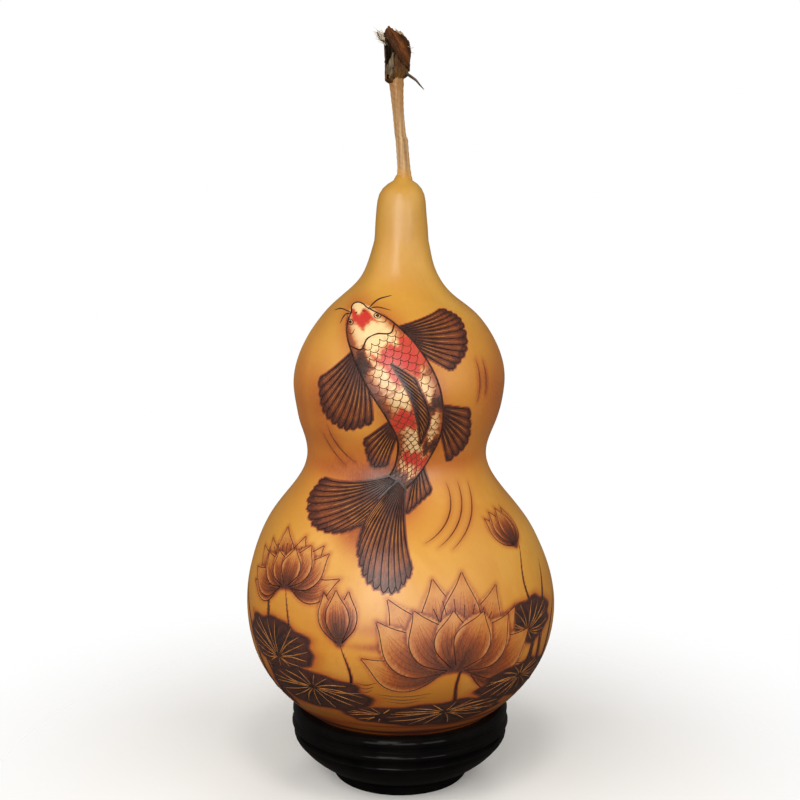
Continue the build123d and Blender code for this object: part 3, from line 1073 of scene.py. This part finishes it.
def bump(tree, height, strength, depth):
    """A bumped normal from a height value."""
    settings = {"Height": height, "Strength": strength, "Distance": depth}
    return put(tree, "ShaderNodeBump", settings).outputs["Normal"]


def dress(piece, *finishes):
    """Give a piece its finishes."""
    piece.data.materials.clear()
    for finish in finishes:
        piece.data.materials.append(finish)
    print(piece.name, "is finished in", *(finish.name for finish in finishes))


# %% Bare skin
def bare_skin(tree, place):
    """The colour of the undrawn skin, with its clouds, pores and grain, and painted shade towards
    the bottom.
    """
    # Colour by height: paler at the neck, and darker and browner from the lower bulb's belly down
    # to the stand, which is painted shade.
    ground = ramp(tree, spread(tree, height_of(tree, place), 0.03, 0.34, 0, 1), [
        (0.0, (0.13, 0.036, 0.004)), (0.09, (0.30, 0.094, 0.007)), (0.22, (0.54, 0.216, 0.016)),
        (0.38, (0.57, 0.274, 0.030)), (0.47, (0.54, 0.232, 0.024)), (0.52, (0.53, 0.184, 0.016)),
        (0.62, (0.61, 0.258, 0.026)), (0.72, (0.59, 0.302, 0.037)), (0.86, (0.49, 0.250, 0.032)),
        (1.0, (0.45, 0.236, 0.034)),
    ])
    cloud = noise(tree, place, 22.0, 5.0, 0.6, 0.4)
    ground = over(tree, ground, cloud, 0.42, 0.72, 0.34, (0.44, 0.150, 0.016))
    ground = over(tree, ground, cloud, 0.50, 0.25, 0.22, (0.78, 0.44, 0.11))
    pores = noise(tree, place, 950.0, 2.0)
    ground = over(tree, ground, pores, 0.66, 0.76, 0.30, (0.33, 0.11, 0.015))
    grain = noise(tree, stretched(tree, place, (420, 420, 60)), 1.0, 3.0)
    ground = over(tree, ground, grain, 0.55, 0.8, 0.16, (0.40, 0.14, 0.02))
    return ground, cloud, pores


# %% Waxed skin
def waxed_skin():
    """Amber gourd skin with its burnt, scraped and tinted picture under wax, and painted shade in
    its burn tone.
    """
    finish, tree, shader, place = new_finish("waxed_gourd_skin")
    ground, cloud, pores = bare_skin(tree, place)
    burn_and_shade, pale, red = (attribute(tree, name) for name in ("burn_and_shade", "pale", "red"))
    streak = noise(tree, stretched(tree, place, (1500, 1500, 420)), 1.0, 2.0)
    uneven = arithmetic(tree, "MULTIPLY", burn_and_shade, spread(tree, streak, 0.3, 0.7, 0.86, 1.12))
    # These burnt colours serve both the burnt picture and the painted shade in the burn tone.
    burnt = ramp(tree, uneven, [
        (0.0, (0.43, 0.124, 0.012)), (0.30, (0.37, 0.076, 0.008)), (0.50, (0.21, 0.045, 0.008)),
        (0.72, (0.080, 0.018, 0.008)), (1.0, (0.012, 0.0050, 0.004)),
    ])
    pale_share = arithmetic(tree, "MULTIPLY", pale, 0.9)
    cream = colour_mix(tree, pale_share, ground, (0.82, 0.62, 0.32))
    drawn = over(tree, cream, uneven, 0.0, 0.42, 1, burnt)
    tint = over(tree, (0.50, 0.015, 0.014), streak, 0.35, 0.7, 0.35, (0.34, 0.010, 0.009))
    tint = over(tree, tint, uneven, 0.05, 0.7, 0.8, burnt)
    tinted = colour_mix(tree, arithmetic(tree, "MULTIPLY", red, 0.96), drawn, tint)
    rubbed = noise(tree, stretched(tree, place, (30, 30, 12)), 1.0, 4.0, 0.6, 0.8)
    dull = arithmetic(tree, "MULTIPLY", burn_and_shade, 0.10)
    rough = arithmetic(tree, "ADD", spread(tree, rubbed, 0.3, 0.7, 0.36, 0.50), dull)
    swell = arithmetic(tree, "MULTIPLY", cloud, 0.9)
    relief = arithmetic(tree, "ADD", arithmetic(tree, "MULTIPLY", pores, 0.10), swell)
    relief = arithmetic(tree, "SUBTRACT", relief, arithmetic(tree, "MULTIPLY", burn_and_shade, 0.12))
    bumps = bump(tree, relief, 0.35, 0.0012)
    fill(tree, shader, {"Base Color": tinted, "Roughness": rough, "Normal": bumps})
    fill(tree, shader, {"Specular IOR Level": 1.05, "Coat Weight": 0.36, "Coat Roughness": 0.24})
    return finish


# %% Fine lines
def fine_line(kind, light, dark, rough):
    """The finish of one kind of fine line, uneven along its length."""
    finish, tree, shader, place = new_finish(kind + "_line")
    uneven = noise(tree, place, 160.0, 3.0)
    colour = over(tree, dark, uneven, 0.35, 0.65, 1, light)
    uneven_rough = spread(tree, uneven, 0.3, 0.7, rough, rough + 0.15)
    fill(tree, shader, {"Base Color": colour, "Roughness": uneven_rough})
    return finish


dress(gourd_skin, waxed_skin())
for kind, light, dark, rough in (
    ("burnt", (0.060, 0.020, 0.011), (0.014, 0.006, 0.0045), 0.35),
    ("brown", (0.17, 0.050, 0.014), (0.075, 0.021, 0.008), 0.4),
    ("scraped", (0.42, 0.165, 0.040), (0.20, 0.062, 0.016), 0.4),
):
    dress(line_pieces[kind], fine_line(kind, light, dark, rough))

# %% [markdown]
# ## The stand
# The stand is turned from wood on a lathe in two parts, a bowl on a foot and a rim on top of it,
# and both are lacquered black. We do as the turner does: draw half of the outline, with its beads
# and quirks, and spin it round the upright axis. Small flats at the corners catch the light, as a
# sanded edge does.

# %% Turn the stand
spin_steps = 180
joint_z = 35.0
dish_middle, dish_radius = (0.0, 137.9), 114.4
bead_middle, bead_radius = (59.77, 31.5), 2.43
lip_middle, lip_radius = (57.68, 39.0), 4.0
bowl_side = [
    (59.1, 26.8), (60.4, 26.1), (60.85, 25.6), (61.0, 24.9), (60.3, 23.0), (58.6, 20.5),
    (53.5, 15.0), (46.2, 9.3), (38.6, 4.9),
]


def arc(middle, radius, first, last, count):
    """Points on an arc between two angles in degrees."""
    angles = np.radians(np.linspace(first, last, count))
    return [
        (middle[0] + radius * math.cos(angle), middle[1] + radius * math.sin(angle))
        for angle in angles
    ]


def turned(name, outline, node):
    """Spin half an outline, as radius and height in millimetres, round the upright axis."""
    places = [(radius * mm, 0, height * mm) for radius, height in outline]
    made = curve_mesh([(places, np.ones(len(places)))], bevel=0.0)
    made.name = name
    with editing(made):
        bpy.ops.mesh.spin(steps=spin_steps, angle=2 * math.pi, center=(0, 0, 0), axis=(0, 0, 1))
    close_up(made, 2e-6)
    smooth_shade(made, 32)
    settle(made, "stand", "lacquer", node)
    return made


bowl_outline = [
    *arc(dish_middle, dish_radius, -90, -64.1, 16), (53.9, joint_z), (53.9, 31.9), (57.1, 31.9),
    (57.1, joint_z), (60.5, joint_z), (60.8, 34.7), *arc(bead_middle, bead_radius, 62, -78, 18),
    *curve_through(bowl_side, 56), (38.3, 4.5), (38.3, 0.5), (37.8, 0.0), (30.6, 0.0), (30.0, 0.6),
    (30.0, 4.0), (0.0, 4.0),
]
lip = arc(lip_middle, lip_radius, -38, 155, 34)
rim_outline = [
    *lip, (52.5, 37.0), (52.5, joint_z), (54.0, joint_z), (54.0, 32.0), (57.0, 32.0),
    (57.0, joint_z), (60.5, joint_z), (60.8, 35.3), lip[0],
]
stand_bowl = turned("turned_bowl", bowl_outline, "stand_bowl")
stand_rim = turned("turned_rim", rim_outline, "stand_rim")

# %% Lacquer
def black_lacquer():
    """Gloss black lacquer over turned wood, faintly ringed by the lathe and a little dusty."""
    finish, tree, shader, place = new_finish("black_lacquer")
    cloud = noise(tree, place, 60.0, 4.0)
    dust = noise(tree, place, 700.0, 3.0)
    lathe_rings = noise(tree, stretched(tree, place, (6, 6, 1400)), 1.0, 2.0)
    colour = over(tree, (0.0020, 0.0018, 0.0018), cloud, 0.35, 0.7, 1, (0.0045, 0.0038, 0.0035))
    colour = over(tree, colour, dust, 0.70, 0.82, 0.4, (0.018, 0.016, 0.014))
    rough = spread(tree, cloud, 0.3, 0.7, 0.10, 0.20)
    bumps = bump(tree, lathe_rings, 0.06, 0.0004)
    fill(tree, shader, {"Base Color": colour, "Roughness": rough, "Normal": bumps})
    fill(tree, shader, {"Specular IOR Level": 0.10, "Coat Weight": 0.06, "Coat Roughness": 0.12})
    return finish


lacquer = black_lacquer()
dress(stand_bowl, lacquer)
dress(stand_rim, lacquer)

# %% [markdown]
# ## The stem
# The stem has dried on the gourd. It is a thin stalk with five blunt ridges, a little twisted,
# leaning to the left, with a small jog halfway up and a flared foot. We roll another grid, this
# time round the leaning middle line, and press the ridges into it. How deep each point lies in a
# groove is stored on the points, so that the finish can paint shade into the grooves.

# %% Stem
stem_bends = [
    (2.0, 336.0, 5.0), (2.1, 343.0, 3.6), (1.5, 352.0, 3.3), (0.9, 360.0, 3.25), (0.2, 362.6, 3.0),
    (-0.9, 374.0, 3.0), (-1.6, 385.0, 3.5), (-1.8, 390.0, 3.9), (-2.1, 396.0, 3.6),
]
stem_columns, stem_rows = 72, 130


def ridges(around, height):
    """The ridged section of the stem: how far it swells in and out round the stalk."""
    twist = 0.012 * (height - 340)
    return np.cos(5 * around + twist) + 0.45 * np.cos(3 * around - 2 * twist + 1.1)


def rolled_stem():
    """A grid rolled round the leaning middle line, ridged, wrinkled and closed at both ends."""
    made, across, along = flat_grid("dry_stem", stem_columns, stem_rows)
    row = np.rint(along * stem_rows).astype(int)
    around = 2 * math.pi * across
    middle_x, height, radius = curve_through(stem_bends, stem_rows + 1)[row].T
    wrinkle = 0.018 * np.sin(1.9 * height + 3 * around)
    wrinkle = wrinkle + 0.012 * np.cos(19 * around + 0.2 * height)
    radius = radius * (1 + 0.06 * ridges(around, height) + wrinkle)
    radius[(row == 0) | (row == stem_rows)] = 0.0
    x, y = middle_x + radius * np.sin(around), -radius * np.cos(around)
    move_points(made, mm * np.stack([x, y, height], axis=1))
    # How deep each point lies in a groove, kept for the painted shade in the grooves.
    store(made, "groove_shade", 0.5 - 0.4 * ridges(around, height))
    close_up(made)
    smooth_shade(made, 60)
    settle(made, "gourd", "stem", "stem")
    return made


stem = rolled_stem()

# %% Stem finish
def dry_stalk():
    """Tan stalk with long grain, with painted shade in its grooves, and darker towards the vine."""
    finish, tree, shader, place = new_finish("dry_stalk")
    grain = noise(tree, stretched(tree, place, (900, 900, 28)), 1.0, 4.0, 0.6)
    colour = ramp(tree, grain, [
        (0.28, (0.235, 0.122, 0.046)), (0.48, (0.385, 0.225, 0.095)),
        (0.70, (0.500, 0.328, 0.165)),
    ])
    # Painted shade: the grooves are darkened by how deep each point lies in them.
    groove_shade = attribute(tree, "groove_shade")
    colour = over(tree, colour, groove_shade, 0.35, 1.0, 0.4, (0.19, 0.098, 0.038))
    height = height_of(tree, place)
    colour = over(tree, colour, height, 0.372, 0.390, 0.75, (0.26, 0.118, 0.034))
    colour = over(tree, colour, height, 0.347, 0.340, 0.9, (0.46, 0.225, 0.046))
    rough = spread(tree, grain, 0.3, 0.7, 0.62, 0.48)
    bumps = bump(tree, grain, 0.5, 0.0004)
    fill(tree, shader, {"Base Color": colour, "Roughness": rough, "Normal": bumps})
    return finish


dress(stem, dry_stalk())

# %% [markdown]
# ## The scrap of vine
# On top of the stem sits a short length of the vine that the gourd hung from. It is hollow, split
# down its front left so that its inside shows, and torn off at a slant. We bend a grid round the
# leaning vine between two bearings, give it a ragged upper edge, and let Solidify give the wall its
# thickness, with a second finish for the inside: far darker than the skin, it paints shade into the
# hollow and under the bark. The peeling bark and the papery lining are made by the same function.

# %% Course of the vine
vine_middle = [(389, -1.9), (400, -1.8), (408, -2.0), (413, -2.7), (417, -3.9), (420, -4.8)]
vine_radius = [(388, 6.0), (397, 6.3), (405, 6.3), (411, 6.1), (415, 5.5), (421, 4.2)]
vine_axis = np.array([-2.2 * mm, 0, 0])


def read_off(pairs, value):
    """Read a number off a line through pairs of numbers."""
    return np.interp(value, *np.array(pairs).T)


def vine_place(bearing, height, out=0.0):
    """A place on the vine: degrees from the front to the right, height, and distance outwards."""
    radius = read_off(vine_radius, height) + out
    angle = np.radians(bearing)
    x = read_off(vine_middle, height) + radius * np.sin(angle)
    return mm * np.stack([x, -radius * np.cos(angle), height], axis=-1)


def rounded_foot(bearing, height):
    """How the vine's foot draws in onto the stem: a ledge at its sides, a slow flow in front."""
    foot = 390.0 - 1.3 * np.sin(np.radians(-bearing))
    rise = 3.2 + 7.0 * hump(bearing, 12, 42)
    return -2.9 * (1 - soft_step(height, foot, foot + rise)) ** 2


print("vine from", vine_radius[0][0], "to", vine_radius[-1][0], "mm high")

# %% Torn sheets
side_columns = 6


def ragged(count, depth):
    """Uneven torn teeth along an edge."""
    teeth = chance.uniform(-depth, depth, (count + 5) // 3)
    return np.interp(np.arange(count), np.arange(0, count + 3, 3), teeth)


def face_outwards(sheet):
    """Turn the faces of an open sheet away from the middle of the vine."""
    normals, middles = np.empty((2, len(sheet.data.polygons), 3))
    sheet.data.polygons.foreach_get("normal", normals.ravel())
    sheet.data.polygons.foreach_get("center", middles.ravel())
    if (normals[:, :2] * (middles - vine_axis)[:, :2]).sum() < 0:
        with editing(sheet):
            bpy.ops.mesh.flip_normals()


def torn_sheet(name, low_edge, high_edge, out, wall, columns, rows, teeth, finishes, slant=0.25):
    """A bent sheet between two edges, each of bearings and heights, torn at its upper edge."""
    sheet, across, along = flat_grid(name, columns, rows)
    first, last = low_edge[0][0], low_edge[-1][0]
    column, row = np.rint(across * columns).astype(int), np.rint(along * rows).astype(int)
    bearing = first + (last - first) * across
    low = read_off(low_edge, bearing) + 0.4 * ragged(columns + 1, teeth)[column]
    high = read_off(high_edge, bearing) + ragged(columns + 1, teeth)[column]
    height = low + (high - low) * along
    side = np.minimum(across, 1 - across) * columns
    bearing = bearing + ragged(rows + 1, 5 * teeth)[row] * np.clip(1 - side / side_columns, 0, 1)
    fibre = 0.16 * np.sin(0.21 * bearing + slant * height)
    fibre += 0.11 * np.sin(0.53 * bearing + 2 * slant * height)
    fibre += 0.08 * np.sin(1.1 * bearing + 0.6 * np.sin(0.9 * height))
    move_points(sheet, vine_place(bearing, height, out(bearing, height) + fibre))
    dress(sheet, *finishes)
    face_outwards(sheet)
    pick(sheet)
    thicken = sheet.modifiers.new("wall", "SOLIDIFY")
    thicken.thickness = wall * mm
    thicken.offset = -1
    thicken.material_offset = len(finishes) - 1
    bpy.ops.object.modifier_apply(modifier="wall")
    smooth_shade(sheet, 50)
    return sheet


# %% Vine finishes
def dry_fibre(name, dark, middle, light, scale=(700, 700, 45), rough=0.75, lean=0.0):
    """A dry plant finish: long streaks of three colours, matt and grooved."""
    finish, tree, shader, place = new_finish(name)
    grain = noise(tree, stretched(tree, place, scale, lean), 1.0, 4.0, 0.62, 0.3)
    blotch = arithmetic(tree, "MULTIPLY", noise(tree, place, 320.0, 3.0), 0.3)
    both_noises = arithmetic(tree, "ADD", arithmetic(tree, "MULTIPLY", grain, 0.7), blotch)
    colour = ramp(tree, both_noises, [(0.34, dark), (0.50, middle), (0.68, light)])
    uneven_rough = spread(tree, grain, 0.3, 0.7, rough, rough - 0.15)
    bumps = bump(tree, both_noises, 0.8, 0.0006)
    fill(tree, shader, {"Base Color": colour, "Roughness": uneven_rough, "Normal": bumps})
    fill(tree, shader, {"Specular IOR Level": 0.08})
    return finish


# %% Bands on the vine and the bark
def banded(finish, lean, stops, share):
    """Lay soft bands of colour over a finish, each at a height in metres on a leant axis."""
    tree = finish.node_tree
    shader = tree.nodes["Principled BSDF"]
    place = put(tree, "ShaderNodeTexCoord").outputs["Object"]
    drift = spread(tree, noise(tree, place, 260.0, 2.0), 0.3, 0.7, -0.0012, 0.0012)
    level = arithmetic(tree, "ADD", height_of(tree, leant(tree, place, lean)), drift)
    low, high = stops[0][0], stops[-1][0]
    level = spread(tree, level, low, high, 0, 1)
    bands = ramp(tree, level, [((height - low) / (high - low), colour) for height, colour in stops])
    under = shader.inputs["Base Color"].links[0].from_socket
    fill(tree, shader, {"Base Color": colour_mix(tree, share, under, bands)})


dry_colours = {
    "vine_skin": ((0.020, 0.010, 0.005), (0.075, 0.034, 0.013), (0.200, 0.100, 0.036)),
    # The inside finish is far darker than the vine's skin: painted shade in the hollow and under
    # the bark.
    "vine_inside_shade": ((0.010, 0.006, 0.003), (0.034, 0.021, 0.011), (0.090, 0.058, 0.030)),
    "vine_lip": ((0.016, 0.009, 0.005), (0.055, 0.028, 0.012), (0.150, 0.078, 0.030)),
    "papery_lining": ((0.040, 0.028, 0.016), (0.120, 0.088, 0.054), (0.270, 0.215, 0.145)),
    "pale_flakes": ((0.180, 0.120, 0.065), (0.340, 0.250, 0.150), (0.520, 0.420, 0.290)),
}
vine_skin, vine_inside_shade, vine_lip, papery, flaky = (
    dry_fibre(name, *colours) for name, colours in dry_colours.items()
)
bark_browns = ((0.010, 0.005, 0.003), (0.055, 0.020, 0.007), (0.150, 0.060, 0.022))
red_bark = dry_fibre("red_bark", *bark_browns, (620, 620, 60), 0.75, 0.55)
foot_bands = [
    (0.387, (0.36, 0.200, 0.080)), (0.3915, (0.20, 0.090, 0.024)), (0.399, (0.055, 0.024, 0.009)),
]
banded(vine_skin, 0.0, foot_bands, 0.6)
dark_bark, brown_bark = (0.022, 0.009, 0.005), (0.062, 0.024, 0.008)
bark_bands = [
    (0.2105, dark_bark), (0.2145, brown_bark), (0.2160, (0.205, 0.062, 0.015)),
    (0.2175, brown_bark), (0.2205, dark_bark),
]
banded(red_bark, -1.015, bark_bands, 0.55)
print("vine finishes:", *dry_colours, "and", red_bark.name)

# %% Make the vine
vine = torn_sheet(
    "vine_wall",
    [(-8, 388.6), (40, 389.6), (90, 391.0), (140, 390.4), (190, 389.4), (274, 388.7)],
    [
        (-8, 403), (10, 409), (50, 411), (95, 408), (135, 409), (175, 412), (215, 415), (255, 416),
        (274, 411),
    ],
    rounded_foot, 0.9, 132, 56, 0.7, [vine_skin, vine_inside_shade],
)
settle(vine, "gourd", "vine", "vine_stub")
split_foot = torn_sheet(
    "vine_split_foot",
    [(-90, 388.7), (-40, 388.8), (-2, 388.6)],
    [(-90, 392.0), (-62, 391.2), (-36, 391.8), (-20, 395.6), (-2, 402.5)],
    rounded_foot, 1.2, 40, 20, 0.35, [vine_lip, vine_inside_shade],
)
settle(split_foot, "gourd", "vine")
lining = torn_sheet(
    "papery_lining",
    [(-90, 394.4), (-60, 394.2), (-16, 393.6)],
    [(-90, 398.5), (-70, 399.5), (-50, 401.5), (-30, 404.5), (-16, 405.5)],
    lambda bearing, height: -0.5 - 0.10 * (height - 392),
    0.35, 36, 30, 0.5, [papery],
)
settle(lining, "gourd", "vine")
flakes = torn_sheet(
    "pale_flakes",
    [(20, 409.5), (90, 403.5)],
    [(20, 417.6), (38, 417.0), (58, 415.9), (74, 414.0), (90, 411.0)],
    lambda bearing, height: 0.05 + 0.6 * soft_step(bearing, 40, 90),
    0.35, 44, 20, 1.0, [flaky],
)
settle(flakes, "gourd", "bark")
bark = torn_sheet(
    "peeling_bark",
    [(-50, 413.6), (-36, 412.0), (-16, 408.0), (8, 402.5), (40, 399.0), (90, 395.6), (150, 400)],
    [(-50, 416.0), (-22, 419.2), (0, 417.6), (30, 415.6), (62, 413.6), (95, 410.8), (150, 408)],
    lambda bearing, height: 0.6 + 0.9 * soft_step(bearing, 50, 100) * soft_step(height, 397, 408),
    0.7, 104, 50, 0.8, [red_bark, vine_inside_shade], 0.7,
)
settle(bark, "gourd", "bark", "bark_flap")

# %% [markdown]
# ## Fibres and a tendril
# Where the vine tore, a tuft of fine pale fibres and one twisted brown strand stand out to the
# upper left, and a dry tendril hangs at the right. Each is a thin tapering strand: a curve with a
# small round bevel, made a mesh.

# %% Fibres
torn_top = [
    (20, 412), (95, 408.5), (135, 409), (175, 412), (215, 415.5), (255, 416), (300, 412),
]
hair_points = 9


def torn_hair(first, last, count, longest, lean):
    """Routes of fine hairs that start inside the torn edge and lean one way."""
    share = shares(hair_points)[:, None]
    routes = []
    for _ in range(count):
        bearing = chance.uniform(first, last)
        edge_height = read_off(torn_top, bearing)
        root = vine_place(bearing, edge_height - chance.uniform(1.0, 5.0), -0.4)
        away = vine_place(bearing, 405.0, 1.0) - vine_place(bearing, 405.0, 0.0)
        aim = 0.4 * away / np.linalg.norm(away) + np.array(lean) + chance.uniform(-0.35, 0.35, 3)
        aim *= mm * chance.uniform(0.45, 1.0) * longest / np.linalg.norm(aim)
        bend = mm * chance.uniform(-1.2, 1.2, 3)
        routes.append((root + aim * share + bend * share**2, 0.21 - 0.14 * share[:, 0]))
    return routes


def strands(name, routes, resolution, slot, node, finish):
    """One piece of thin round strands, with its finish."""
    made = curve_mesh(routes, resolution)
    made.name = name
    smooth_shade(made, 60)
    settle(made, "gourd", slot, node)
    dress(made, finish)


tuft = torn_hair(225, 290, 70, 7.0, (-0.62, -0.1, 0.80))
fringe = torn_hair(60, 130, 12, 3.0, (0.3, 0, 0.2))
pale_fibre = dry_fibre("pale_fibre", (0.30, 0.24, 0.16), (0.56, 0.49, 0.37), (0.78, 0.72, 0.60))
strands("torn_hairs", tuft + fringe, 1, "fibre", "torn_fibres", pale_fibre)

# %% Tendril and twisted strand
tendril_bends = [
    (2.6, -3.6, 396.2), (4.4, -3.2, 394.0), (6.4, -2.8, 392.6), (8.6, -2.5, 391.0),
    (10.8, -2.5, 388.4), (12.9, -2.5, 386.2),
]
strand_bends = [
    (-6.5, -2.0, 409.5), (-8.6, -2.4, 411.5), (-10.4, -2.6, 412.2), (-11.6, -2.4, 414.8),
    (-11.9, -2.2, 416.4),
]
tendril_way, strand_way = shares(36), shares(24)
tendril_radii = 0.62 + 0.16 * np.sin(5 * tendril_way) - 0.30 * tendril_way**6
strand_radii = 0.42 + 0.12 * np.sin(9 * strand_way) - 0.26 * strand_way**3
curls = [
    (curve_through(tendril_bends, len(tendril_way)) * mm, tendril_radii),
    (curve_through(strand_bends, len(strand_way)) * mm, strand_radii),
]
brown_skin = ((0.035, 0.022, 0.014), (0.085, 0.056, 0.038), (0.180, 0.135, 0.100))
tendril_skin = dry_fibre("tendril_skin", *brown_skin, (400, 400, 160))
strands("dry_tendril", curls, 3, "bark", "tendril", tendril_skin)

# %% [markdown]
# ## What is inside
# Shaken, the gourd rattles: loose seeds lie in its round bottom, and a core of dry pith hangs in
# its neck. Nobody sees them, so the engineering model's own pieces stay, with a seed coat and a
# spongy pith.

# %% Seeds and pith
coat_colours = ((0.20, 0.11, 0.05), (0.36, 0.24, 0.12), (0.52, 0.38, 0.22))
pith_colours = ((0.46, 0.35, 0.20), (0.62, 0.50, 0.32), (0.78, 0.67, 0.48))
seed_coat = dry_fibre("seed_coat", *coat_colours, (260, 260, 260), 0.6)
dry_pith = dry_fibre("dry_pith", *pith_colours, (420, 420, 120), 0.9)
dress(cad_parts["seeds"], seed_coat)
dress(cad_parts["neck_pith"], dry_pith)
